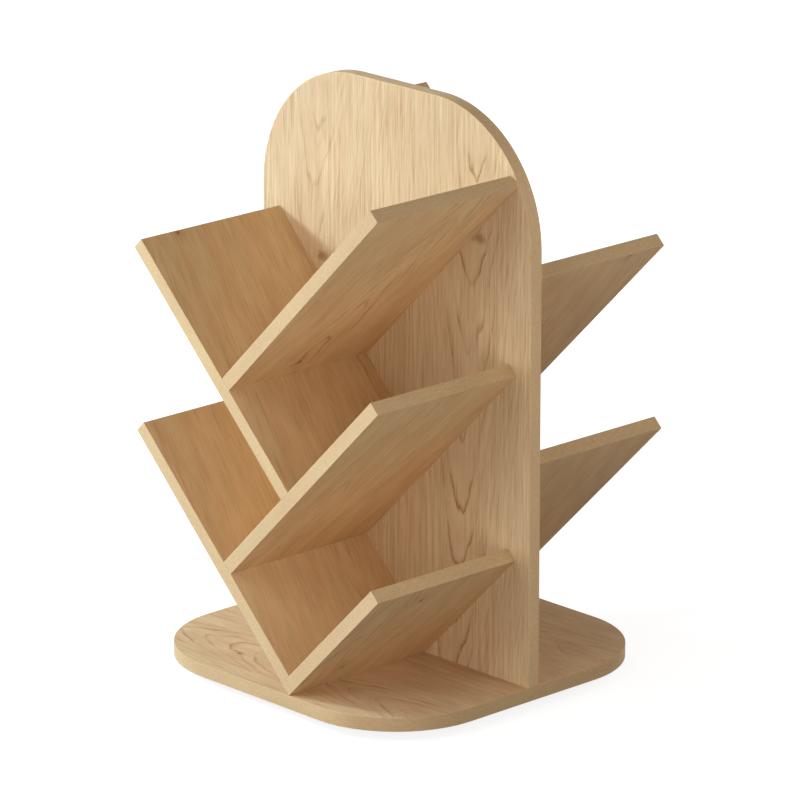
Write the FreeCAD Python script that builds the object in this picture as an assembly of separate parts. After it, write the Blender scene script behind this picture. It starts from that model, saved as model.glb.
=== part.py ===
import FreeCAD, Part
import math
import os
from collections import namedtuple

# Revolving desktop bookcase, in millimetres, +Z up.
# The origin is where the turning axis meets the table. +X runs along the centre panel, and -Y is the
# front. Five boards stand on each face of the panel at 45 degrees and lock together as a herringbone.
# The back is the front turned half round about Z. Under the base plate a ring bearing lets it turn.

# ---- driving dimensions ----

BOARD_T = 15.0            # thickness of every board
BAND_T = 1.0              # thickness of the edge banding
BAND_ARRIS = 0.3          # bevel that the trimmer leaves on the banding's outer edges

BASE_SIDE = 400.0         # the base plate is a square with round corners
BASE_CORNER_R = 110.0

PANEL_CORNER_R = 140.0    # the centre panel's two top corners
PANEL_TOP_MARGIN = 63.5   # from the highest tip of the herringbone to the panel's top

RAKE = math.radians(45)   # slope of the right-leaning boards; the left-leaning ones stand square to them
BOARD_PITCH = 139.5       # from one board's lower face to the next parallel board's lower face
LEFT_TIP_INSET = 14.5     # from the panel's side to the left-leaning tips on the front
RIGHT_TIP_INSET = 20.3    # from the panel's side to the right-leaning tips on the front

SPLINE_T = 4.0            # plywood splines hidden in stopped grooves
SPLINE_STOP = 25.0        # from a board's end, or its front or rear edge, to the end of its spline
FACE_GROOVE = 5.0         # depth of a groove cut into a board's face
EDGE_GROOVE = 9.0         # depth of a groove cut into a board's edge
SPLINE_FIT = 0.05         # clearance all round a spline
FOOT_SPLINE_L = 220.0     # spline under the centre panel

PANEL_SCREW_X = 150.0     # screws from under the base plate into the panel, each side of the axis
PANEL_SCREW_D = 6.0
PANEL_SCREW_L = 50.0
PANEL_SCREW_HEAD_D = 10.0
RING_SCREW_COUNT = 3
RING_SCREW_D = 4.0
RING_SCREW_L = 16.0
RING_SCREW_HEAD_D = 8.0
RING_SCREW_INSET = 8.5    # screw circle, from the upper ring's inner wall
SCREW_FIT = 0.05          # clearance round a screw in its hole

TURNTABLE_D = 250.0       # outside of the lower, standing ring
LOWER_RING_W = 12.5       # radial width of the lower ring
UPPER_RING_W = 22.0       # radial width of the upper, turning ring
RING_H = 8.0              # height of each ring
RING_STEP = 1.2           # how far the upper ring stands above the lower one
RACE_GAP = 2.6            # radial gap between the two rings
BALL_D = 5.0
BALL_COUNT = 18
BALL_MERIDIANS = 8        # flats round a ball, and bands from pole to pole
BALL_BANDS = 5
RACE_FIT = 0.05           # clearance between a ball and the flanks of its race
CAGE_SKIRT = 2.0          # how far the cage's fingers reach below the balls' centres
CAGE_ROOF = 1.0           # material over each pocket
CAGE_FIT = 0.5            # clearance between the cage and each ring
POCKET_FIT = 0.15         # clearance round a ball in its pocket
PAD_COUNT = 4
PAD_D = 10.0
PAD_T = 1.8

# ---- heights and radii that follow ----

LOWER_RING_Z = PAD_T
UPPER_RING_Z = LOWER_RING_Z + RING_STEP
BASE_Z = UPPER_RING_Z + RING_H
BASE_TOP_Z = BASE_Z + BOARD_T
RACE_Z = (LOWER_RING_Z + UPPER_RING_Z + RING_H) / 2
LOWER_RING_IN_R = TURNTABLE_D / 2 - LOWER_RING_W
UPPER_RING_OUT_R = LOWER_RING_IN_R - RACE_GAP
UPPER_RING_IN_R = UPPER_RING_OUT_R - UPPER_RING_W
RACE_R = LOWER_RING_IN_R - RACE_GAP / 2
BALL_R = BALL_D / 2
CAGE_T = RACE_GAP - 2 * CAGE_FIT

# The front boards reach from the panel's face to the base's side. On each side four long boards are the
# same length, and the foot board is shorter, so that its tip stands under the tips above it. The foot
# corner, where the lowest two boards meet, stands where both rows of tips keep their insets.
REAR_Y = -BOARD_T / 2
FRONT_Y = -BASE_SIDE / 2
FOOT_X = (BOARD_PITCH * math.cos(RAKE) + LEFT_TIP_INSET - RIGHT_TIP_INSET) / 2
LONG_BOARD = (BASE_SIDE / 2 - LEFT_TIP_INSET + FOOT_X) / math.sin(RAKE) - BOARD_T
FOOT_BOARD = LONG_BOARD + BOARD_T - BOARD_PITCH

# A board leans left or right, starts at its lower end a distance up its own slope from the foot corner,
# and lies a distance across the slope from it. Each board but the first stands on the one before.
Board = namedtuple("Board", "name leans start offset length")
BOARDS = [
    Board("foot_board", "right", 0.0, 0.0, FOOT_BOARD),
    Board("lower_left_board", "left", BOARD_T, 0.0, LONG_BOARD),
    Board("middle_right_board", "right", BOARD_T, BOARD_PITCH, LONG_BOARD),
    Board("upper_left_board", "left", BOARD_PITCH + BOARD_T, BOARD_PITCH, LONG_BOARD),
    Board("upper_right_board", "right", BOARD_PITCH + BOARD_T, 2 * BOARD_PITCH, LONG_BOARD),
]

TOP_BOARD = BOARDS[-1]
HIGHEST_TIP = (
    (TOP_BOARD.start + TOP_BOARD.length) * math.sin(RAKE)
    + (TOP_BOARD.offset + BOARD_T) * math.cos(RAKE)
)
PANEL_H = HIGHEST_TIP + PANEL_TOP_MARGIN

ORIGIN = FreeCAD.Vector(0, 0, 0)
UP = FreeCAD.Vector(0, 0, 1)
EPS = 1e-6                # how near two coordinates lie to count as one


# ---- shared operations ----

def box(x, y, z):
    """A box from three (low, high) pairs."""
    corner = FreeCAD.Vector(x[0], y[0], z[0])
    return Part.makeBox(x[1] - x[0], y[1] - y[0], z[1] - z[0], corner)


def grown(span, by):
    return (span[0] - by, span[1] + by)


def centred(middle, width):
    return (middle - width / 2, middle + width / 2)


def round_about(shape, count, start_deg=0.0):
    """Copies of a shape spaced evenly about the turning axis."""
    copies = []
    for i in range(count):
        copy = shape.copy()
        copy.rotate(ORIGIN, UP, start_deg + i * 360.0 / count)
        copies.append(copy)
    return copies


def revolved(points):
    """A ring from a closed outline of (radius, height) points."""
    outline = [FreeCAD.Vector(r, 0, z) for r, z in points]
    face = Part.Face(Part.makePolygon(outline + outline[:1]))
    return face.revolve(ORIGIN, UP, 360)


def bevelled(shape, size, picks):
    """The shape with a bevel on each edge that picks(edge) accepts."""
    return shape.makeChamfer(size, [edge for edge in shape.Edges if picks(edge)])


def all_at(edge, axis, value):
    return all(abs(getattr(v.Point, axis) - value) < EPS for v in edge.Vertexes)


# ---- herringbone boards ----
# Each board is made square to the axes, with X up the right-leaning slope and Z up the left-leaning
# slope from the foot corner, and then tilted into place.

def tilted(shape, side):
    shape.rotate(ORIGIN, FreeCAD.Vector(0, 1, 0), -math.degrees(RAKE))
    shape.translate(FreeCAD.Vector(FOOT_X, 0, BASE_TOP_Z))
    if side == "back":
        shape.rotate(ORIGIN, UP, 180)
    return shape


def board_box(board, run, depth, across):
    """A box in a board's own terms: up its slope, from front to rear, and through its thickness."""
    if board.leans == "right":
        return box(run, depth, across)
    return box(across, depth, run)


def board_spans(board):
    run = (board.start, board.start + board.length)
    across = (board.offset, board.offset + BOARD_T)
    return run, (FRONT_Y, REAR_Y), across


def panel_spline(board, fit=0.0):
    """Spline between a board's rear edge and the panel's face, or its groove when fit is the clearance."""
    run, _, across = board_spans(board)
    return board_box(
        board,
        grown(run, fit - SPLINE_STOP),
        grown((REAR_Y - EDGE_GROOVE, REAR_Y + FACE_GROOVE), fit),
        grown(centred(sum(across) / 2, SPLINE_T), fit),
    )


def end_spline(board, fit=0.0):
    """Spline between a board's lower end and the face that it stands on, or its groove."""
    run, depth, across = board_spans(board)
    return board_box(
        board,
        grown((run[0] - FACE_GROOVE, run[0] + EDGE_GROOVE), fit),
        grown(depth, fit - SPLINE_STOP),
        grown(centred(sum(across) / 2, SPLINE_T), fit),
    )


def board_core(index):
    board = BOARDS[index]
    run, depth, across = board_spans(board)
    core = board_box(board, (run[0], run[1] - BAND_T), (depth[0] + BAND_T, depth[1]), across)
    grooves = [panel_spline(board, SPLINE_FIT)]
    if index > 0:
        grooves.append(end_spline(board, SPLINE_FIT))
    if index + 1 < len(BOARDS):
        grooves.append(end_spline(BOARDS[index + 1], SPLINE_FIT))
    return core.cut(grooves)


def board_bands(board):
    """Banding on a board's front edge, and on its tip behind that."""
    run, depth, across = board_spans(board)
    slope = "x" if board.leans == "right" else "z"
    front = board_box(board, run, (depth[0], depth[0] + BAND_T), across)
    front = bevelled(
        front,
        BAND_ARRIS,
        lambda edge: all_at(edge, "y", depth[0]) and not all_at(edge, slope, run[0]),
    )
    tip = board_box(board, (run[1] - BAND_T, run[1]), (depth[0] + BAND_T, depth[1]), across)
    tip = bevelled(
        tip,
        BAND_ARRIS,
        lambda edge: all_at(edge, slope, run[1]) and edge.Length > BOARD_T + EPS,
    )
    return [front, tip]


# ---- base plate and centre panel ----

def base_block(inset):
    side = BASE_SIDE - 2 * inset
    block = box(centred(0, side), centred(0, side), (BASE_Z, BASE_TOP_Z))
    corners = [edge for edge in block.Edges if abs(edge.Length - BOARD_T) < EPS]
    return block.makeFillet(BASE_CORNER_R - inset, corners)


def base_plate():
    cuts = panel_screw_parts(SCREW_FIT) + ring_screw_parts(SCREW_FIT)
    return base_block(BAND_T).cut(cuts + [foot_spline(SPLINE_FIT)])


def base_edge_band():
    outside = bevelled(
        base_block(0),
        BAND_ARRIS,
        lambda edge: all_at(edge, "z", BASE_TOP_Z) or all_at(edge, "z", BASE_Z),
    )
    return outside.cut(base_block(BAND_T))


def panel_block(inset):
    """The panel's outline, drawn in from its sides and top but not from its foot."""
    half = BASE_SIDE / 2 - inset
    top = BASE_TOP_Z + PANEL_H - inset
    block = box((-half, half), centred(0, BOARD_T), (BASE_TOP_Z, top))
    corners = [edge for edge in block.Edges if all_at(edge, "z", top) and edge.Length < BOARD_T + EPS]
    return block.makeFillet(PANEL_CORNER_R - inset, corners)


def centre_panel():
    cuts = panel_screw_parts(SCREW_FIT) + [foot_spline(SPLINE_FIT)]
    for side in ("front", "back"):
        cuts += [tilted(panel_spline(board, SPLINE_FIT), side) for board in BOARDS]
    return panel_block(BAND_T).cut(cuts)


def panel_edge_band():
    faces = (REAR_Y, -REAR_Y)
    outside = bevelled(
        panel_block(0),
        BAND_ARRIS,
        lambda edge: any(all_at(edge, "y", y) for y in faces) and not all_at(edge, "z", BASE_TOP_Z),
    )
    return outside.cut(panel_block(BAND_T))


def foot_spline(fit=0.0):
    """Spline between the base plate's top and the panel's foot, or its groove."""
    return box(
        grown(centred(0, FOOT_SPLINE_L), fit),
        grown(centred(0, SPLINE_T), fit),
        grown((BASE_TOP_Z - FACE_GROOVE, BASE_TOP_Z + EDGE_GROOVE), fit),
    )


# ---- screws ----

def countersunk(z, diameter, length, head_d, fit):
    """An upright countersunk screw on the turning axis with its head's face at z, or its hole."""
    head_r = head_d / 2 + fit
    shank_r = diameter / 2 + fit
    neck = z + head_r - shank_r
    tip = z + length + fit
    return revolved([(0, z), (head_r, z), (shank_r, neck), (shank_r, tip), (0, tip)])


def panel_screw_parts(fit=0.0):
    """The screws that hold the centre panel, or their holes through the base and up into the panel."""
    screw = countersunk(BASE_Z, PANEL_SCREW_D, PANEL_SCREW_L, PANEL_SCREW_HEAD_D, fit)
    screw.translate(FreeCAD.Vector(PANEL_SCREW_X, 0, 0))
    return round_about(screw, 2)


def ring_screw_parts(fit=0.0):
    """The screws that hold the upper ring under the base plate, or their holes."""
    screw = countersunk(UPPER_RING_Z, RING_SCREW_D, RING_SCREW_L, RING_SCREW_HEAD_D, fit)
    screw.translate(FreeCAD.Vector(UPPER_RING_IN_R + RING_SCREW_INSET, 0, 0))
    return round_about(screw, RING_SCREW_COUNT, 180.0 / RING_SCREW_COUNT)


# ---- ring bearing ----

def race(wall_r, outward):
    """The V of a race, as (radius, height) points up a ring's wall. Its flanks stand at 45 degrees."""
    depth = (BALL_R + RACE_FIT) / math.sin(math.radians(45)) - RACE_GAP / 2
    return [
        (wall_r, RACE_Z - depth),
        (wall_r + outward * depth, RACE_Z),
        (wall_r, RACE_Z + depth),
    ]


def lower_ring():
    top = LOWER_RING_Z + RING_H
    outer = TURNTABLE_D / 2
    wall = [(LOWER_RING_IN_R, LOWER_RING_Z)] + race(LOWER_RING_IN_R, 1) + [(LOWER_RING_IN_R, top)]
    return revolved(wall + [(outer, top), (outer, LOWER_RING_Z)])


def upper_ring():
    wall = [(UPPER_RING_OUT_R, UPPER_RING_Z)] + race(UPPER_RING_OUT_R, -1) + [(UPPER_RING_OUT_R, BASE_Z)]
    ring = revolved(wall + [(UPPER_RING_IN_R, BASE_Z), (UPPER_RING_IN_R, UPPER_RING_Z)])
    return ring.cut(ring_screw_parts(SCREW_FIT))


def ball_cage():
    """A crown of nylon that drops over the balls, with a pocket for each."""
    pocket_r = BALL_R + POCKET_FIT
    low = RACE_Z - CAGE_SKIRT
    roof = RACE_Z + pocket_r
    inner = RACE_R - CAGE_T / 2
    outer = RACE_R + CAGE_T / 2
    crown = revolved([(inner, low), (outer, low), (outer, roof + CAGE_ROOF), (inner, roof + CAGE_ROOF)])
    pocket = box(centred(RACE_R, RACE_GAP), (-pocket_r, pocket_r), (low, roof))
    return crown.cut(round_about(pocket, BALL_COUNT))


def ball():
    """A bearing ball with flats in place of a full sphere, its corners at the true radius."""
    def point(band, meridian):
        tilt = math.pi * band / BALL_BANDS
        turn = 2 * math.pi * meridian / BALL_MERIDIANS
        across = BALL_R * math.sin(tilt)
        height = RACE_Z - BALL_R * math.cos(tilt)
        return FreeCAD.Vector(RACE_R + across * math.cos(turn), across * math.sin(turn), height)

    flats = []
    for meridian in range(BALL_MERIDIANS):
        for band in range(BALL_BANDS):
            corners = [point(band, meridian), point(band, meridian + 1)]
            corners += [point(band + 1, meridian + 1), point(band + 1, meridian)]
            if band == 0:
                corners = corners[1:]
            if band == BALL_BANDS - 1:
                corners = corners[:3]
            flats.append(Part.Face(Part.makePolygon(corners + corners[:1])))
    return Part.Solid(Part.Shell(flats))


def foot_pads():
    pad_r = TURNTABLE_D / 2 - LOWER_RING_W / 2
    pad = Part.makeCylinder(PAD_D / 2, PAD_T, FreeCAD.Vector(pad_r, 0, 0))
    return round_about(pad, PAD_COUNT, 180.0 / PAD_COUNT)


# ---- every piece under its own name ----

def pieces():
    named = {
        "base_plate": [base_plate()],
        "base_edge_band": [base_edge_band()],
        "centre_panel": [centre_panel()],
        "panel_edge_band": [panel_edge_band()],
        "panel_foot_spline": [foot_spline()],
        "panel_screws": panel_screw_parts(),
        "turntable_lower_ring": [lower_ring()],
        "turntable_upper_ring": [upper_ring()],
        "ball_cage": [ball_cage()],
        "bearing_balls": round_about(ball(), BALL_COUNT),
        "ring_screws": ring_screw_parts(),
        "foot_pads": foot_pads(),
    }
    for side in ("front", "back"):
        for index, board in enumerate(BOARDS):
            name = side + "_" + board.name
            named[name] = [tilted(board_core(index), side)]
            named[name + "_bands"] = [tilted(band, side) for band in board_bands(board)]
            named[name + "_rear_spline"] = [tilted(panel_spline(board), side)]
            if index > 0:
                named[name + "_end_spline"] = [tilted(end_spline(board), side)]
    return named


os.makedirs("parts", exist_ok=True)
for name, solids in pieces().items():
    shape = solids[0] if len(solids) == 1 else Part.makeCompound(solids)
    shape.exportStep("parts/" + name + ".step")
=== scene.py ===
import bmesh
import bpy
import math
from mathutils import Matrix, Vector


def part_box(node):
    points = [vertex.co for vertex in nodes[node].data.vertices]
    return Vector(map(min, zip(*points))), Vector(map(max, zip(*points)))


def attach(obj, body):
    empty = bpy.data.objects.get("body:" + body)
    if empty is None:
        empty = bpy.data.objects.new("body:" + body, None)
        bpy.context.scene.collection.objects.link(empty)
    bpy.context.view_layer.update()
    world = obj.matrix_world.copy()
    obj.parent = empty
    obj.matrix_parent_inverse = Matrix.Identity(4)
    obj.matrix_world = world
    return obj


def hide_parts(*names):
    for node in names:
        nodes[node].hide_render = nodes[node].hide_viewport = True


# Revolving desktop bookcase: wood, banding, metal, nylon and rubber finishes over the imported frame.
# Lengths are in metres. X runs along the centre panel, -Y is the front and Z is up.

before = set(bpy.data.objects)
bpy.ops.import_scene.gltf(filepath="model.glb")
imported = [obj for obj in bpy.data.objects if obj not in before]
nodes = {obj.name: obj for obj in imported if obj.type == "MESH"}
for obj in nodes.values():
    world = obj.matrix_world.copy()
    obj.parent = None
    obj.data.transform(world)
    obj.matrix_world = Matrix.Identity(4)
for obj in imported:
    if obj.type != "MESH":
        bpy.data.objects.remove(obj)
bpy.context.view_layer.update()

MM = 0.001
QUARTER = math.radians(90)


# ---- shader graphs ----

class Graph:
    """Short ways to add nodes to one shader tree. Most give the new node's output socket."""

    def __init__(self, tree):
        self.tree = tree

    def node(self, kind, inputs=None, **settings):
        made = self.tree.nodes.new(kind)
        for name, value in settings.items():
            setattr(made, name, value)
        for name, value in (inputs or {}).items():
            self.feed(made.inputs[name], value)
        return made

    def feed(self, socket, value):
        if isinstance(value, bpy.types.NodeSocket):
            self.tree.links.new(value, socket)
        else:
            socket.default_value = value

    def math(self, operation, *values, clamp=False):
        made = self.node("ShaderNodeMath", operation=operation, use_clamp=clamp)
        for socket, value in zip(made.inputs, values):
            self.feed(socket, value)
        return made.outputs[0]

    def total(self, *values):
        result = values[0]
        for value in values[1:]:
            result = self.math("ADD", result, value)
        return result

    def product(self, *values):
        result = values[0]
        for value in values[1:]:
            result = self.math("MULTIPLY", result, value)
        return result

    def scaled(self, vector, factors):
        made = self.node("ShaderNodeVectorMath", {0: vector, 1: factors}, operation="MULTIPLY")
        return made.outputs[0]

    def distance(self, first, second):
        made = self.node("ShaderNodeVectorMath", {0: first, 1: second}, operation="DISTANCE")
        return made.outputs["Value"]

    def split(self, vector):
        return self.node("ShaderNodeSeparateXYZ", {0: vector}).outputs

    def place(self, turn=(0.0, 0.0, 0.0), shift=(0.0, 0.0, 0.0)):
        """The object's own coordinates, turned and then shifted."""
        own = self.node("ShaderNodeTexCoord").outputs["Object"]
        inputs = {"Vector": own, "Rotation": turn, "Location": shift}
        return self.node("ShaderNodeMapping", inputs).outputs[0]

    def from_axis(self, x, y):
        """Distance from the upright axis."""
        return self.math("SQRT", self.total(self.product(x, x), self.product(y, y)))

    def texture(self, vector, detail):
        inputs = {"Vector": vector, "Scale": 1.0, "Detail": detail}
        return self.node("ShaderNodeTexNoise", inputs).outputs["Fac"]

    def noise(self, place, cells, detail=2.0):
        """Noise with so many cells per metre along X, Y and Z."""
        return self.texture(self.scaled(place, cells), detail)

    def sheet_noise(self, first, second, cells, detail=2.0, layer=0.0):
        """Noise over a plane of two lengths. Another layer gives a pattern of its own."""
        ends = {0: self.product(first, cells[0]), 1: self.product(second, cells[1]), 2: layer}
        return self.texture(self.node("ShaderNodeCombineXYZ", ends).outputs[0], detail)

    def about_zero(self, value, size):
        """A value from 0 to 1 moved to lie about zero, up to half of size each way."""
        return self.math("MULTIPLY", self.math("SUBTRACT", value, 0.5), size)

    def ramp(self, value, low, high, to_low=0.0, to_high=1.0, kind="LINEAR"):
        """The range from low to high brought to another range, and level beyond its ends."""
        ends = {"From Min": low, "From Max": high, "To Min": to_low, "To Max": to_high}
        inputs = {"Value": value, **ends}
        return self.node("ShaderNodeMapRange", inputs, interpolation_type=kind).outputs[0]

    def ease(self, value, low, high, to_low=0.0, to_high=1.0):
        """A ramp with soft ends."""
        return self.ramp(value, low, high, to_low, to_high, kind="SMOOTHSTEP")

    def darkness(self, start, *parts):
        """The parts added to a starting value, and held within 0 and 1."""
        return self.math("ADD", self.total(*parts), start, clamp=True)

    def mixed(self, factor, first, second):
        # the colour sockets are numbers 6 and 7, after those for the node's other kinds of data
        inputs = {"Factor": factor, 6: first, 7: second}
        return self.node("ShaderNodeMix", inputs, data_type="RGBA").outputs[2]


def srgb(red, green, blue):
    """A colour given in the usual 0 to 255 values, as the linear one that shaders take."""
    def linear(value):
        c = value / 255
        return c / 12.92 if c <= 0.04045 else ((c + 0.055) / 1.055) ** 2.4
    return (linear(red), linear(green), linear(blue), 1.0)


def new_group(name, inputs, outputs):
    """An empty node group. Inputs are {name: (socket type, default or None)}, outputs {name: type}."""
    tree = bpy.data.node_groups.new(name, "ShaderNodeTree")
    for label, (kind, default) in inputs.items():
        socket = tree.interface.new_socket(label, in_out="INPUT", socket_type=kind)
        if default is not None:
            socket.default_value = default
    for label, kind in outputs.items():
        tree.interface.new_socket(label, in_out="OUTPUT", socket_type=kind)
    graph = Graph(tree)
    return graph, graph.node("NodeGroupInput").outputs, graph.node("NodeGroupOutput").inputs


def new_material(name, **uniform):
    """A material and its graph. Uniform values go straight on the shader's own sockets."""
    material = bpy.data.materials.new(name)
    material.use_nodes = True
    sockets = material.node_tree.nodes["Principled BSDF"].inputs
    for label, value in uniform.items():
        sockets[label.replace("_", " ")].default_value = value
    return material, Graph(material.node_tree)


def finished(material, graph, colour, roughness, relief, depth):
    """Feed a material's shader. Depth is how high a relief of 1 stands, in metres."""
    sockets = material.node_tree.nodes["Principled BSDF"].inputs
    bump = graph.node("ShaderNodeBump", {"Height": relief, "Strength": 1.0, "Distance": depth})
    graph.feed(sockets["Base Color"], colour)
    graph.feed(sockets["Roughness"], roughness)
    graph.feed(sockets["Normal"], bump.outputs[0])
    return material


def dress(node, material):
    for slot in nodes[node].material_slots:
        slot.material = material


# ---- oak ----

FLOAT = "NodeSocketFloat"
COLOUR = "NodeSocketColor"
VECTOR = "NodeSocketVector"
RING = 3.2 * MM             # depth between growth rings
RING_FADE = 2.6 * MM        # how far along the face a ring's line fades
RING_PEAK = 0.93            # how far through a ring its line is darkest
ARCH_POWER = 1.7            # how fast the wood gets deeper away from a heart line
WANDER = 50.0 * MM          # how wide a heart line wanders, half of it each way
DRIFT = 2.3 * MM            # slow and quick waves of the figure and a knot's push, for an Arch of 1
WIGGLE = 0.7 * MM
KNOT_PUSH = 0.5 * MM
KNOT_AND_BLOT_TINT = srgb(144, 80, 46)
BLOT_SHAPE = (95.0, 58.0, 0.0)  # a blot fades out 0.8 over these away, along and across, in metres
FAR_OFF = (9.0, 9.0, 0.0)       # a blot's place on a board that has none
WOOD_SPECULAR = 0.06


def pin_knots(graph, place, share):
    """Small ragged knots that go right through the board, and how they push the rings aside."""
    cells = graph.node(
        "ShaderNodeTexVoronoi",
        {"Vector": graph.scaled(place, (16.0, 24.0, 1.0)), "Scale": 1.0, "Randomness": 0.9},
        voronoi_dimensions="2D",
    )
    chance, strength, _ = graph.split(cells.outputs["Color"])
    rare = graph.math("LESS_THAN", chance, share)
    ragged = graph.about_zero(graph.noise(place, (260.0, 420.0, 60.0)), 0.1)
    from_knot = graph.total(cells.outputs["Distance"], ragged)
    push = graph.product(graph.ease(cells.outputs["Distance"], 0.0, 0.35, 1.0, 0.0), rare)
    core = graph.product(
        graph.ease(from_knot, 0.015, 0.08, 1.0, 0.0),
        graph.ramp(strength, 0.0, 1.0, 0.4, 0.85),
        rare,
    )
    return core, push, ragged


def brown_blots(graph, place, spots, ragged):
    """Wide brown blots with ragged edges at places of their own."""
    here = graph.scaled(place, BLOT_SHAPE)
    apart = [graph.distance(here, graph.scaled(spot, BLOT_SHAPE)) for spot in spots]
    nearest = graph.math("MINIMUM", *apart)
    return graph.ease(graph.total(nearest, graph.product(ragged, 8.0)), 0.1, 0.8, 0.6, 0.0)


def growth_rings(graph, given, along, depth, from_heart):
    """A dark line for each ring, strongest near a heart line, that fades on one side. It is as thick
    where the rings lie far apart as where they crowd."""
    spread = graph.product(graph.math("POWER", from_heart, ARCH_POWER - 1.0), given["Arch"], ARCH_POWER)
    climb = graph.product(given["Climb"], given["Climb"])
    slope = graph.math("SQRT", graph.total(graph.product(spread, spread), climb))
    sharpness = graph.math("DIVIDE", RING / RING_FADE, slope)
    phase = graph.math("FRACT", graph.math("DIVIDE", depth, RING))
    rise = graph.math("POWER", graph.ramp(phase, 0.0, RING_PEAK), sharpness)
    line = graph.product(rise, graph.ease(phase, RING_PEAK, 1.0, 1.0, 0.0))
    near_heart = graph.ease(from_heart, 0.015, 0.04, 1.0, 0.25)
    patchy = graph.ease(graph.sheet_noise(along, depth, (24.0, 260.0)), 0.38, 0.62, 0.15, 1.0)
    return graph.product(line, near_heart, patchy)


def short_stripes(graph, place, along, wavering, from_heart):
    """Stripes of two widths that waver, calmer near a heart line and in slow patches."""
    fine = graph.ease(graph.sheet_noise(along, wavering, (9.0, 480.0), 3.0), 0.36, 0.64)
    broad = graph.ease(graph.sheet_noise(along, wavering, (3.5, 190.0), 3.0), 0.36, 0.64)
    calm = graph.ease(graph.noise(place, (2.5, 22.0, 22.0), 1.0), 0.35, 0.65, 0.45, 1.0)
    far = graph.ease(from_heart, 0.006, 0.03, 0.4, 1.0)
    both = graph.total(graph.about_zero(fine, 0.5), graph.about_zero(broad, 0.24))
    return graph.product(both, calm, far)


def build_oak():
    """The figure of a flat-sawn oak face. Place has X along the grain, Y across it and Z through it.
    Heart is a heart line's place across the grain and Lean its slant, and Spacing is from one such
    line to the next. The wood gets deeper by Arch away from a heart line and by Climb along it. Stripes,
    Figure and Flames are strengths, and Knots is the share of cells with a knot."""
    graph, given, made = new_group(
        "oak_figure",
        {
            "Place": (VECTOR, None),
            "Heart": (FLOAT, None),
            "Lean": (FLOAT, 0.0),
            "Spacing": (FLOAT, None),
            "Arch": (FLOAT, None),
            "Climb": (FLOAT, None),
            "Stripes": (FLOAT, None),
            "Figure": (FLOAT, None),
            "Flames": (FLOAT, None),
            "Knots": (FLOAT, None),
            "Blot": (VECTOR, FAR_OFF),
            "Lower Blot": (VECTOR, FAR_OFF),
            "Pale": (COLOUR, None),
            "Rosy": (COLOUR, None),
            "Grain": (COLOUR, None),
        },
        {"Color": COLOUR, "Roughness": FLOAT, "Height": FLOAT},
    )
    place = given["Place"]
    along, across, _ = graph.split(place)

    # distance from the nearest heart line, which leans and wanders; every other line is fainter
    wander = graph.about_zero(graph.noise(place, (3.0, 0.8, 0.8)), WANDER)
    heart = graph.total(given["Heart"], graph.product(along, given["Lean"]))
    offset = graph.total(across, wander, graph.product(heart, -1.0))
    from_heart = graph.math("PINGPONG", offset, graph.product(given["Spacing"], 0.5))
    turns = graph.product(graph.math("DIVIDE", offset, given["Spacing"]), math.pi)
    bold = graph.ease(graph.math("COSINE", turns), -1.0, 1.0, 1.0, 0.45)

    # how deep in the tree each place lies: arches, waves and the knots' push
    core, push, ragged = pin_knots(graph, place, given["Knots"])
    blot = brown_blots(graph, place, (given["Blot"], given["Lower Blot"]), ragged)
    rounded = graph.product(graph.math("POWER", from_heart, ARCH_POWER), given["Arch"])
    slow = graph.about_zero(graph.noise(place, (5.0, 14.0, 14.0)), DRIFT)
    quick = graph.about_zero(graph.noise(place, (34.0, 110.0, 110.0)), WIGGLE)
    drift = graph.product(slow, given["Arch"])
    wiggle = graph.product(quick, given["Arch"])
    bulge = graph.product(push, given["Arch"], KNOT_PUSH)
    depth = graph.total(rounded, graph.product(along, given["Climb"]), drift, wiggle, bulge)

    # rings, stripes, streaks, thin spears, soft darker flames, short dashes, fibres and pores
    wavering = graph.total(across, drift, wiggle)
    rings = graph.product(growth_rings(graph, given, along, depth, from_heart), bold)
    stripes = short_stripes(graph, place, along, wavering, from_heart)
    streaks = graph.sheet_noise(along, depth, (7.0, 900.0), 3.0)
    spears = graph.ease(graph.sheet_noise(along, wavering, (17.0, 330.0), 1.0, layer=3.0), 0.6, 0.76)
    flames = graph.ease(graph.sheet_noise(along, wavering, (14.0, 60.0), 3.0), 0.3, 0.7)
    dashes = graph.ease(graph.noise(place, (48.0, 900.0, 900.0)), 0.58, 0.72)
    fibres = graph.noise(place, (22.0, 1300.0, 1300.0))
    pores = graph.ease(graph.noise(place, (85.0, 3300.0, 3300.0), 1.0), 0.62, 0.72)
    tones = graph.sheet_noise(along, wavering, (8.0, 45.0), layer=7.0)

    figure = graph.total(rings, graph.about_zero(streaks, 0.5), graph.product(spears, 0.4))
    darkness = graph.darkness(
        0.3,
        graph.product(stripes, given["Stripes"]),
        graph.product(figure, given["Figure"]),
        graph.product(graph.about_zero(flames, 0.6), given["Flames"]),
        graph.product(dashes, 0.15),
        graph.product(push, 0.2),
        graph.about_zero(fibres, 0.35),
        graph.product(pores, 0.12),
    )
    ground = graph.mixed(graph.ease(tones, 0.35, 0.65), given["Pale"], given["Rosy"])
    figured = graph.mixed(darkness, ground, given["Grain"])
    relief = graph.total(
        graph.product(fibres, 0.5),
        graph.product(streaks, 0.5),
        graph.product(pores, -0.8),
        graph.product(rings, -0.3),
    )
    graph.feed(made["Color"], graph.mixed(graph.math("MAXIMUM", core, blot), figured, KNOT_AND_BLOT_TINT))
    graph.feed(made["Roughness"], graph.ramp(graph.total(streaks, pores), 0.2, 1.2, 0.56, 0.72))
    graph.feed(made["Height"], relief)
    return graph.tree


OAK = build_oak()


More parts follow.
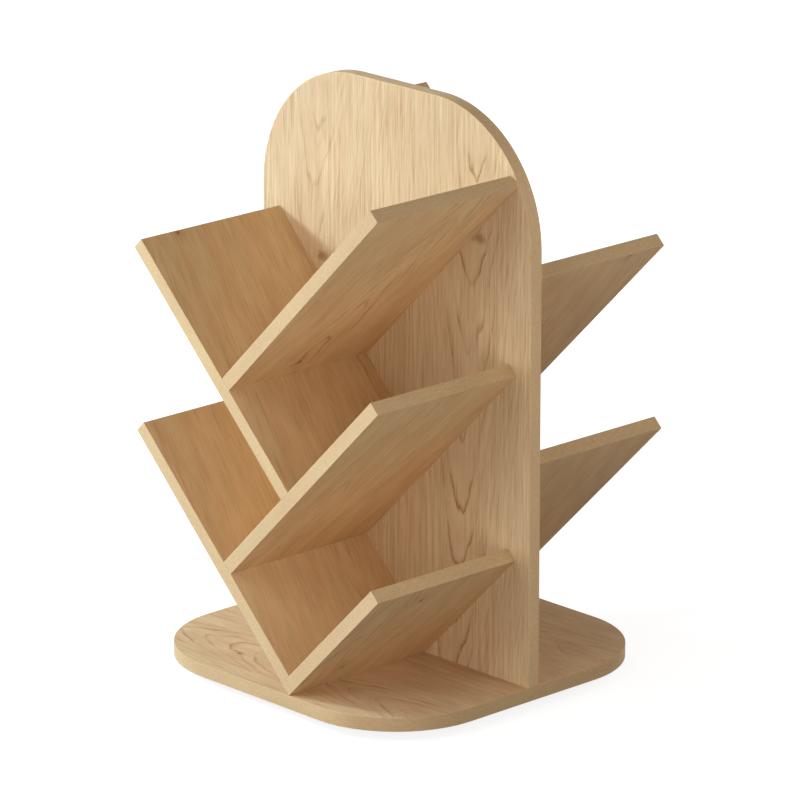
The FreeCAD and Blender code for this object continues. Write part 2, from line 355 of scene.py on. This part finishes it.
def oak_material(name, turn, shift, values, tints):
    """Oak whose grain runs along X after the object's own place is turned and then shifted."""
    material, graph = new_material(name, Specular_IOR_Level=WOOD_SPECULAR)
    figure = graph.node("ShaderNodeGroup", node_tree=OAK)
    sockets = {"Place": graph.place(turn, shift), **values}
    sockets.update(zip(("Pale", "Rosy", "Grain"), tints))
    for label, value in sockets.items():
        graph.feed(figure.inputs[label], value)
    made = figure.outputs
    return finished(material, graph, made["Color"], made["Roughness"], made["Height"], depth=0.05 * MM)


# ---- banding and plywood ----

VENEER = 1.6 * MM
GLUE_LINE = 0.12 * MM
PLY_TINTS = (srgb(222, 196, 150), srgb(184, 146, 100))


def band_material(name, turn, tints):
    """Plain edge banding with a fine speckle. After the turn its layers lie across Z."""
    material, graph = new_material(name, Specular_IOR_Level=WOOD_SPECULAR)
    place = graph.place(turn)
    speckle = graph.noise(place, (420.0, 420.0, 700.0), 3.0)
    ticks = graph.noise(place, (160.0, 160.0, 900.0))
    cloud = graph.noise(place, (14.0, 14.0, 60.0))
    patches = graph.noise(place, (34.0, 34.0, 90.0), 1.0)
    darkness = graph.darkness(
        0.35,
        graph.about_zero(speckle, 1.1),
        graph.about_zero(ticks, 0.9),
        graph.about_zero(cloud, 0.5),
    )
    pale, rosy, grain = tints
    ground = graph.mixed(graph.ease(patches, 0.4, 0.6), pale, rosy)
    colour = graph.mixed(darkness, ground, grain)
    roughness = graph.ramp(speckle, 0.2, 0.8, 0.5, 0.66)
    return finished(material, graph, colour, roughness, graph.total(speckle, ticks), depth=0.02 * MM)


def plywood_material(name, turn):
    """Birch plywood whose veneers are stacked along Z after the turn."""
    material, graph = new_material(name, Specular_IOR_Level=WOOD_SPECULAR)
    place = graph.place(turn)
    _, _, through = graph.split(place)
    glue = graph.ease(graph.math("PINGPONG", through, VENEER / 2), 0.0, GLUE_LINE, 1.0, 0.0)
    grain = graph.noise(place, (20.0, 420.0, 420.0), 3.0)
    darkness = graph.darkness(0.25, graph.about_zero(grain, 1.1), graph.product(glue, 0.6))
    colour = graph.mixed(darkness, *PLY_TINTS)
    roughness = graph.ramp(grain, 0.2, 0.8, 0.6, 0.8)
    return finished(material, graph, colour, roughness, grain, depth=0.04 * MM)


# ---- the wooden nodes ----

# pale, rosy and grain colours
# the panel, boards and base carry one oak print; the panel's copy is paler and cooler than the boards'
# and theirs more orange, partly the print's own tone, partly painted light on the lit panel face and
# painted shade on the boards' shaded inner faces
PANEL_TINTS_WITH_PAINTED_LIGHT = (srgb(231, 207, 166), srgb(231, 203, 164), srgb(168, 125, 80))
BOARD_TINTS_WITH_PAINTED_SHADE = (srgb(235, 206, 157), srgb(236, 200, 152), srgb(172, 124, 80))
BASE_TINTS = (srgb(234, 207, 163), srgb(231, 199, 159), srgb(159, 115, 77))
PANEL_BAND_TINTS = (srgb(229, 199, 154), srgb(229, 196, 155), srgb(200, 166, 122))
BOARD_BAND_TINTS = (srgb(218, 190, 145), srgb(218, 187, 145), srgb(190, 156, 114))
# the base's banding is the same edging as the others, set darker as painted shade for its low edge by
# the floor
BASE_BAND_TINTS_WITH_PAINTED_SHADE = (srgb(214, 185, 139), srgb(214, 182, 140), srgb(185, 150, 108))

PANEL_FIGURE = {
    "Heart": -0.1585, "Lean": 0.088, "Spacing": 0.235, "Arch": 1.8, "Climb": -0.0455,
    "Stripes": 0.66, "Figure": 0.7, "Flames": 0.15, "Knots": 0.02,
    "Blot": (0.498, 0.1245, 0.0), "Lower Blot": (0.4315, -0.108, 0.0),
}
BASE_FIGURE = {
    "Heart": 0.115, "Spacing": 0.253, "Arch": 2.3, "Climb": -0.083,
    "Stripes": 0.25, "Figure": 0.5, "Flames": 0.25, "Knots": 0.03,
}
BOARD_FIGURE = {
    "Heart": 0.05, "Spacing": 0.24, "Arch": 3.0, "Climb": 0.05,
    "Stripes": 0.2, "Figure": 0.52, "Flames": 0.27, "Knots": 0.025,
}

FLAT = (0.0, 0.0, 0.0)
PANEL_LAYERS = (QUARTER, 0.0, 0.0)          # brings Y, through the panel, to Z
PANEL_GRAIN = (QUARTER, 0.0, QUARTER)       # and brings Z, up the panel, to X
PANEL_SHIFT = (0.0075, 0.0, 0.0)
BASE_SHIFT = (0.272, 0.0, 0.0)
BOARD_SHIFT = (0.37, 0.11, 0.05)            # from each board to the next, so that no two look alike

LEFT = -1
RIGHT = 1
BOARDS = {
    "foot_board": RIGHT,
    "lower_left_board": LEFT,
    "middle_right_board": RIGHT,
    "upper_left_board": LEFT,
    "upper_right_board": RIGHT,
}
SIDES = ("front", "back")
RAKE = math.radians(45)
GRAIN_TILT = math.radians(9)                # the print on the boards isn't quite square to them


def dress_board(side, board, lean, number):
    """The back's boards are the front's, turned half round the upright axis."""
    name = side + "_" + board
    about, slope = (0.0, lean * RAKE) if side == "front" else (math.pi, -lean * RAKE)
    turn = (0.0, slope, about)
    tilted = (0.0, slope, about - lean * GRAIN_TILT)
    shift = [step * number for step in BOARD_SHIFT]
    dress(name, oak_material("oak_" + name, tilted, shift, BOARD_FIGURE, BOARD_TINTS_WITH_PAINTED_SHADE))
    dress(name + "_bands", band_material("band_" + name, turn, BOARD_BAND_TINTS))
    plywood = plywood_material("plywood_" + name, turn)
    dress(name + "_rear_spline", plywood)
    if board != "foot_board":
        dress(name + "_end_spline", plywood)


dress("centre_panel", oak_material("oak_panel", PANEL_GRAIN, PANEL_SHIFT, PANEL_FIGURE, PANEL_TINTS_WITH_PAINTED_LIGHT))
dress("base_plate", oak_material("oak_base", FLAT, BASE_SHIFT, BASE_FIGURE, BASE_TINTS))
dress("panel_edge_band", band_material("band_panel", PANEL_LAYERS, PANEL_BAND_TINTS))
dress("base_edge_band", band_material("band_base", FLAT, BASE_BAND_TINTS_WITH_PAINTED_SHADE))
dress("panel_foot_spline", plywood_material("plywood_panel_foot", PANEL_LAYERS))
for side in SIDES:
    for number, (board, lean) in enumerate(BOARDS.items()):
        dress_board(side, board, lean, number)


# ---- metal, nylon and rubber ----

def turned_aluminium():
    """Bare aluminium with the fine circles that a lathe leaves about the turning axis."""
    material, graph = new_material("ring_aluminium", Metallic=1.0)
    place = graph.place()
    x, y, z = graph.split(place)
    circles = graph.sheet_noise(graph.from_axis(x, y), z, (5200.0, 5200.0), 3.0)
    haze = graph.noise(place, (45.0, 45.0, 45.0), 3.0)
    tone = graph.total(graph.product(circles, 0.7), graph.product(haze, 0.3))
    colour = graph.mixed(tone, srgb(206, 208, 210), srgb(232, 233, 234))
    roughness = graph.ramp(tone, 0.2, 0.8, 0.26, 0.42)
    return finished(material, graph, colour, roughness, circles, depth=0.02 * MM)


def zinc_plate():
    """Bright zinc with a faint yellow and blue cast that shifts in small patches."""
    material, graph = new_material("zinc_plated_steel", Metallic=1.0)
    place = graph.place()
    cast = graph.noise(place, (260.0, 260.0, 260.0))
    frost = graph.noise(place, (2400.0, 2400.0, 2400.0), 3.0)
    colour = graph.mixed(cast, srgb(214, 206, 184), srgb(196, 203, 214))
    roughness = graph.ramp(frost, 0.2, 0.8, 0.24, 0.4)
    return finished(material, graph, colour, roughness, frost, depth=0.01 * MM)


def natural_nylon():
    """Off-white moulded nylon, a little cloudy."""
    material, graph = new_material("cage_nylon", Specular_IOR_Level=0.45, Subsurface_Weight=0.15)
    place = graph.place()
    cloud = graph.noise(place, (90.0, 90.0, 160.0), 3.0)
    skin = graph.noise(place, (1500.0, 1500.0, 1500.0))
    colour = graph.mixed(cloud, srgb(238, 234, 220), srgb(220, 214, 196))
    roughness = graph.ramp(skin, 0.2, 0.8, 0.36, 0.52)
    return finished(material, graph, colour, roughness, skin, depth=0.015 * MM)


def bearing_steel():
    """Polished steel with fine scuffs and a thin film of grease."""
    material, graph = new_material("ball_steel", Metallic=1.0)
    place = graph.place()
    film = graph.noise(place, (420.0, 420.0, 420.0), 3.0)
    scuffs = graph.noise(place, (3800.0, 900.0, 3800.0))
    colour = graph.mixed(film, srgb(214, 216, 220), srgb(190, 188, 182))
    roughness = graph.ramp(graph.total(film, scuffs), 0.6, 1.4, 0.06, 0.22)
    return finished(material, graph, colour, roughness, scuffs, depth=0.003 * MM)


def pad_rubber():
    """Matt dark rubber with a grained skin and a dusty bloom."""
    material, graph = new_material("pad_rubber", Specular_IOR_Level=0.35)
    place = graph.place()
    grain = graph.noise(place, (1700.0, 1700.0, 1700.0), 3.0)
    bloom = graph.noise(place, (240.0, 240.0, 240.0), 3.0)
    colour = graph.mixed(bloom, srgb(38, 38, 39), srgb(66, 65, 63))
    roughness = graph.ramp(grain, 0.2, 0.8, 0.66, 0.88)
    return finished(material, graph, colour, roughness, grain, depth=0.05 * MM)


ZINC = zinc_plate()
STEEL = bearing_steel()
RUBBER = pad_rubber()
ALUMINIUM = turned_aluminium()
dress("turntable_lower_ring", ALUMINIUM)
dress("turntable_upper_ring", ALUMINIUM)
dress("ball_cage", natural_nylon())


# ---- balls, screws and pads ----
# Each is turned about its own upright axis from rows of (height, radius), and a radius may be a function
# of the angle, for a drive recess or a thread. A row with no radius is a single point.

SHARP_EDGE = math.radians(35)
NEAR_ZERO = 0.001


def add_row(work, place, height, radius, segments):
    """The vertices of one row."""
    if radius == 0:
        return [work.verts.new(place + Vector((0, 0, height)))]
    loop = []
    for step in range(segments):
        angle = 2 * math.pi * step / segments
        r = radius(angle) if callable(radius) else radius
        loop.append(work.verts.new(place + Vector((r * math.cos(angle), r * math.sin(angle), height))))
    return loop


def join_rows(work, low, high):
    """The faces between two rows, either of which may be a single point."""
    count = max(len(low), len(high))
    for step in range(count):
        after = (step + 1) % count
        if len(low) == 1:
            work.faces.new((low[0], high[after], high[step]))
        elif len(high) == 1:
            work.faces.new((low[step], low[after], high[0]))
        else:
            work.faces.new((low[step], low[after], high[after], high[step]))


def turned_piece(name, rows, places, material, segments, body, replaced):
    work = bmesh.new()
    for place in places:
        loops = [add_row(work, place, height, radius, segments) for height, radius in rows]
        for low, high in zip(loops, loops[1:]):
            join_rows(work, low, high)
    bmesh.ops.recalc_face_normals(work, faces=work.faces)
    mesh = bpy.data.meshes.new(name)
    work.to_mesh(mesh)
    work.free()
    mesh.materials.append(material)
    mesh.shade_smooth()
    mesh.set_sharp_from_angle(angle=SHARP_EDGE)
    piece = bpy.data.objects.new(name, mesh)
    bpy.context.scene.collection.objects.link(piece)
    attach(piece, body)
    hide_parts(replaced)


def about_axis(radius, height, count, start_deg):
    """Places spaced evenly about the turning axis."""
    spots = []
    for i in range(count):
        angle = math.radians(start_deg + 360.0 * i / count)
        spots.append(Vector((radius * math.cos(angle), radius * math.sin(angle), height)))
    return spots


def hexagon(across_flats):
    """Radius of a hexagon at an angle."""
    def radius(angle):
        return across_flats / 2 / math.cos((angle + math.pi / 6) % (math.pi / 3) - math.pi / 6)
    return radius


def cross(length, width):
    """Radius of a cross-shaped recess at an angle, from the length and width of its arms."""
    def radius(angle):
        off = abs((angle + math.pi / 4) % (math.pi / 2) - math.pi / 4)
        return min(length / 2 / math.cos(off), width / 2 / max(math.sin(off), NEAR_ZERO))
    return radius


def threaded(low, high, crest, root, pitch, rows_per_turn=6):
    """Rows of a single-start thread from a low to a high height, run out at both ends."""
    rows = []
    count = round((high - low) / pitch * rows_per_turn)
    for i in range(count + 1):
        height = low + (high - low) * i / count
        fade = min(1.0, (height - low) / pitch, (high - height) / pitch)

        def radius(angle, height=height, fade=fade):
            """A V-shaped ridge that takes up half of each pitch."""
            phase = (height / pitch - angle / (2 * math.pi)) % 1.0
            return root + (crest - root) * fade * max(0.0, 1 - abs(phase - 0.5) * 4)
        rows.append((height, radius))
    return rows


BALL_R = 2.5 * MM
BALL_COUNT = 18
BALL_BANDS = 14
RACE_R = 111.2 * MM


def add_balls():
    low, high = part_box("bearing_balls")
    rows = []
    for band in range(BALL_BANDS + 1):
        tilt = math.pi * band / BALL_BANDS
        inside = 0 < band < BALL_BANDS
        rows.append((-BALL_R * math.cos(tilt), BALL_R * math.sin(tilt) if inside else 0))
    places = about_axis(RACE_R, (low.z + high.z) / 2, BALL_COUNT, start_deg=0.0)
    turned_piece(
        "steel_balls", rows, places, STEEL, segments=24,
        body="bearing_cage", replaced="bearing_balls",
    )


PANEL_SCREW_X = 150.0 * MM
PANEL_SCREW_R = 3.0 * MM
PANEL_HEAD_R = 5.0 * MM


def add_panel_screws():
    """Screws with a 90 degree head, a hexagon socket, a thread and a blunt point."""
    low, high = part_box("panel_screws")
    tip = high.z - low.z
    rows = [
        (3.2 * MM, 0),
        (2.6 * MM, hexagon(3.8 * MM)),
        (0.3 * MM, hexagon(4.0 * MM)),
        (0.0, hexagon(4.5 * MM)),
        (0.0, PANEL_HEAD_R - 0.2 * MM),
        (0.2 * MM, PANEL_HEAD_R),
        (2.2 * MM, PANEL_SCREW_R),
        (8.0 * MM, PANEL_SCREW_R),
        (8.6 * MM, 2.3 * MM),
    ]
    rows += threaded(9.0 * MM, tip - 4.0 * MM, crest=PANEL_SCREW_R, root=2.2 * MM, pitch=3.0 * MM)
    rows += [(tip - 1.0 * MM, 1.0 * MM), (tip, 0)]
    places = about_axis(PANEL_SCREW_X, low.z, count=2, start_deg=0.0)
    turned_piece(
        "panel_screws_hex", rows, places, ZINC, segments=24,
        body="bookcase", replaced="panel_screws",
    )


RING_SCREW_AT = 96.4 * MM
RING_SCREW_R = 2.0 * MM
RING_HEAD_R = 4.0 * MM


def add_ring_screws():
    """Screws with a 90 degree head, a cross recess, a thread and a sharp point."""
    low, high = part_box("ring_screws")
    tip = high.z - low.z
    rows = [
        (2.4 * MM, 0),
        (1.9 * MM, cross(1.6 * MM, 0.6 * MM)),
        (0.0, cross(4.4 * MM, 0.9 * MM)),
        (0.0, RING_HEAD_R - 0.15 * MM),
        (0.15 * MM, RING_HEAD_R),
        (2.0 * MM, RING_SCREW_R),
        (3.0 * MM, RING_SCREW_R),
        (3.3 * MM, 1.4 * MM),
    ]
    rows += threaded(3.6 * MM, tip - 2.6 * MM, crest=RING_SCREW_R, root=1.3 * MM, pitch=1.6 * MM)
    rows += [(tip - 1.6 * MM, 1.0 * MM), (tip, 0)]
    places = about_axis(RING_SCREW_AT, low.z, count=3, start_deg=60.0)
    turned_piece(
        "ring_screws_cross", rows, places, ZINC, segments=48,
        body="bookcase", replaced="ring_screws",
    )


PAD_AT = 118.75 * MM
PAD_R = 5.0 * MM


def add_pads():
    """Rubber pads with a rounded lower edge and a shallow dish."""
    _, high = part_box("foot_pads")
    rows = [
        (0.25 * MM, 0),
        (0.2 * MM, 1.6 * MM),
        (0.03 * MM, 2.8 * MM),
        (0.0, 3.4 * MM),
        (0.0, PAD_R - 0.9 * MM),
        (0.08 * MM, PAD_R - 0.55 * MM),
        (0.28 * MM, PAD_R - 0.25 * MM),
        (0.6 * MM, PAD_R - 0.06 * MM),
        (0.9 * MM, PAD_R),
        (high.z, PAD_R),
        (high.z, 0),
    ]
    places = about_axis(PAD_AT, 0.0, count=4, start_deg=45.0)
    turned_piece(
        "rubber_pads", rows, places, RUBBER, segments=40,
        body="turntable_base", replaced="foot_pads",
    )


add_balls()
add_panel_screws()
add_ring_screws()
add_pads()


# ---- stage, lights and camera ----

CAMERA_AZIMUTH = math.radians(46.52)
CAMERA_ELEVATION = math.radians(17.215)
CAMERA_TARGET = Vector((0.72, 0.0, 289.6)) * MM
CAMERA_DISTANCE = 5.958
CAMERA_LENS = 258.4
CAMERA_SENSOR = 36.0
CAMERA_REACH = 60.0

FLOOR_SIDE = 40.0
FLOOR_GLOW_NEAR = 0.86
FLOOR_GLOW_FAR = 1.0
GLOW_NEAR_R = 0.35
GLOW_FAR_R = 0.9
FLOOR_SHADED = 0.3
FLOOR_BOUNCE = 0.2
AMBIENT = 0.03

# Square soft lamps: the way to each from the camera's target, its distance from there, its size, how
# brightly it lights a white card there that faces it, and its tint.
LAMPS = {
    "key": ((-0.806, -0.468, 0.363), 3.0, 0.4, 0.78, (0.77, 1.0, 1.22)),
    "top": ((0.0, -0.01, 1.0), 3.0, 3.0, 0.065, (1.05, 1.0, 0.95)),
    "left_high": ((-0.7, 0.0, 0.7), 3.0, 2.0, 0.16, (1.0, 1.0, 1.0)),
    "front_high": ((0.0, -0.7, 0.7), 3.0, 2.0, 0.245, (1.04, 1.0, 0.97)),
    "front_left": ((-0.5, -1.3, 0.11), 1.4, 1.0, 0.485, (0.93, 1.0, 1.07)),
    "front_right": ((0.6, -1.2, -0.05), 1.34, 0.45, 0.192, (1.05, 1.0, 0.97)),
    "right": ((1.1, 0.1, 0.36), 1.16, 0.8, 0.257, (1.07, 1.0, 0.94)),
    "right_low": ((1.3, -0.5, -0.13), 1.4, 0.3, 0.052, (1.03, 1.0, 0.97)),
    "back": ((0.0, 1.0, 0.05), 3.0, 2.4, 0.68, (1.0, 1.0, 1.0)),
}


def direction(azimuth, elevation):
    """The way from the object towards a point at that azimuth, counted from the front round to +X."""
    level = math.cos(elevation)
    return Vector((math.sin(azimuth) * level, -math.cos(azimuth) * level, math.sin(elevation)))


def add_camera():
    camera = bpy.data.objects.new("camera", bpy.data.cameras.new("camera"))
    back = direction(CAMERA_AZIMUTH, CAMERA_ELEVATION)
    camera.location = CAMERA_TARGET + back * CAMERA_DISTANCE
    camera.rotation_mode = "QUATERNION"
    camera.rotation_quaternion = back.to_track_quat("Z", "Y")
    camera.data.sensor_width = CAMERA_SENSOR
    camera.data.lens = CAMERA_LENS
    camera.data.clip_end = CAMERA_REACH
    bpy.context.scene.collection.objects.link(camera)
    bpy.context.scene.camera = camera


def seen_directly(graph):
    """1 for rays that show a surface as it looks: camera, mirror and glass rays."""
    rays = graph.node("ShaderNodeLightPath").outputs
    seen = graph.math("MAXIMUM", rays["Is Camera Ray"], rays["Is Glossy Ray"])
    return graph.math("MAXIMUM", seen, rays["Is Transmission Ray"])


def grey(level):
    return (level, level, level, 1)


def add_world():
    """White where it is seen, and a faint light on the object."""
    world = bpy.data.worlds.new("studio")
    world.use_nodes = True
    bpy.context.scene.world = world
    graph = Graph(world.node_tree)
    world.node_tree.nodes.clear()
    soft = graph.node("ShaderNodeBackground", {"Color": grey(1), "Strength": AMBIENT}).outputs[0]
    white = graph.node("ShaderNodeBackground", {"Color": grey(1), "Strength": 1.0}).outputs[0]
    ends = {0: seen_directly(graph), 1: soft, 2: white}
    mixed = graph.node("ShaderNodeMixShader", ends).outputs[0]
    graph.node("ShaderNodeOutputWorld", {"Surface": mixed})


def floor_paper():
    """Pale paper that takes the object's shadow and, where it is seen, glows up to white around it."""
    material = bpy.data.materials.new("floor_paper")
    material.use_nodes = True
    graph = Graph(material.node_tree)
    material.node_tree.nodes.clear()
    paper = graph.node("ShaderNodeBsdfDiffuse", {"Color": grey(FLOOR_BOUNCE)}).outputs[0]
    shaded = graph.node("ShaderNodeBsdfDiffuse", {"Color": grey(FLOOR_SHADED)}).outputs[0]
    x, y, _ = graph.split(graph.place())
    radius = graph.from_axis(x, y)
    strength = graph.ease(radius, GLOW_NEAR_R, GLOW_FAR_R, FLOOR_GLOW_NEAR, FLOOR_GLOW_FAR)
    glow = graph.node("ShaderNodeEmission", {"Color": grey(1), "Strength": strength}).outputs[0]
    bright = graph.node("ShaderNodeAddShader", {0: shaded, 1: glow}).outputs[0]
    ends = {0: seen_directly(graph), 1: paper, 2: bright}
    mixed = graph.node("ShaderNodeMixShader", ends).outputs[0]
    graph.node("ShaderNodeOutputMaterial", {"Surface": mixed})
    return material


def add_floor():
    mesh = bpy.data.meshes.new("floor")
    half = FLOOR_SIDE / 2
    corners = [(-half, -half, 0), (half, -half, 0), (half, half, 0), (-half, half, 0)]
    mesh.from_pydata(corners, [], [(0, 1, 2, 3)])
    mesh.materials.append(floor_paper())
    floor = bpy.data.objects.new("floor", mesh)
    bpy.context.scene.collection.objects.link(floor)


def add_lamp(name, way, distance, size, level, tint):
    data = bpy.data.lights.new(name, "AREA")
    data.shape = "SQUARE"
    data.size = size
    data.energy = level * math.pi ** 2 * distance ** 2
    data.color = tint
    lamp = bpy.data.objects.new(name, data)
    lamp.location = CAMERA_TARGET + way.normalized() * distance
    lamp.rotation_mode = "QUATERNION"
    lamp.rotation_quaternion = way.to_track_quat("Z", "Y")
    bpy.context.scene.collection.objects.link(lamp)


bpy.context.scene.view_settings.view_transform = "Standard"
add_camera()
add_floor()
add_world()
for name, (way, distance, size, level, tint) in LAMPS.items():
    add_lamp(name, Vector(way), distance, size, level, tint)
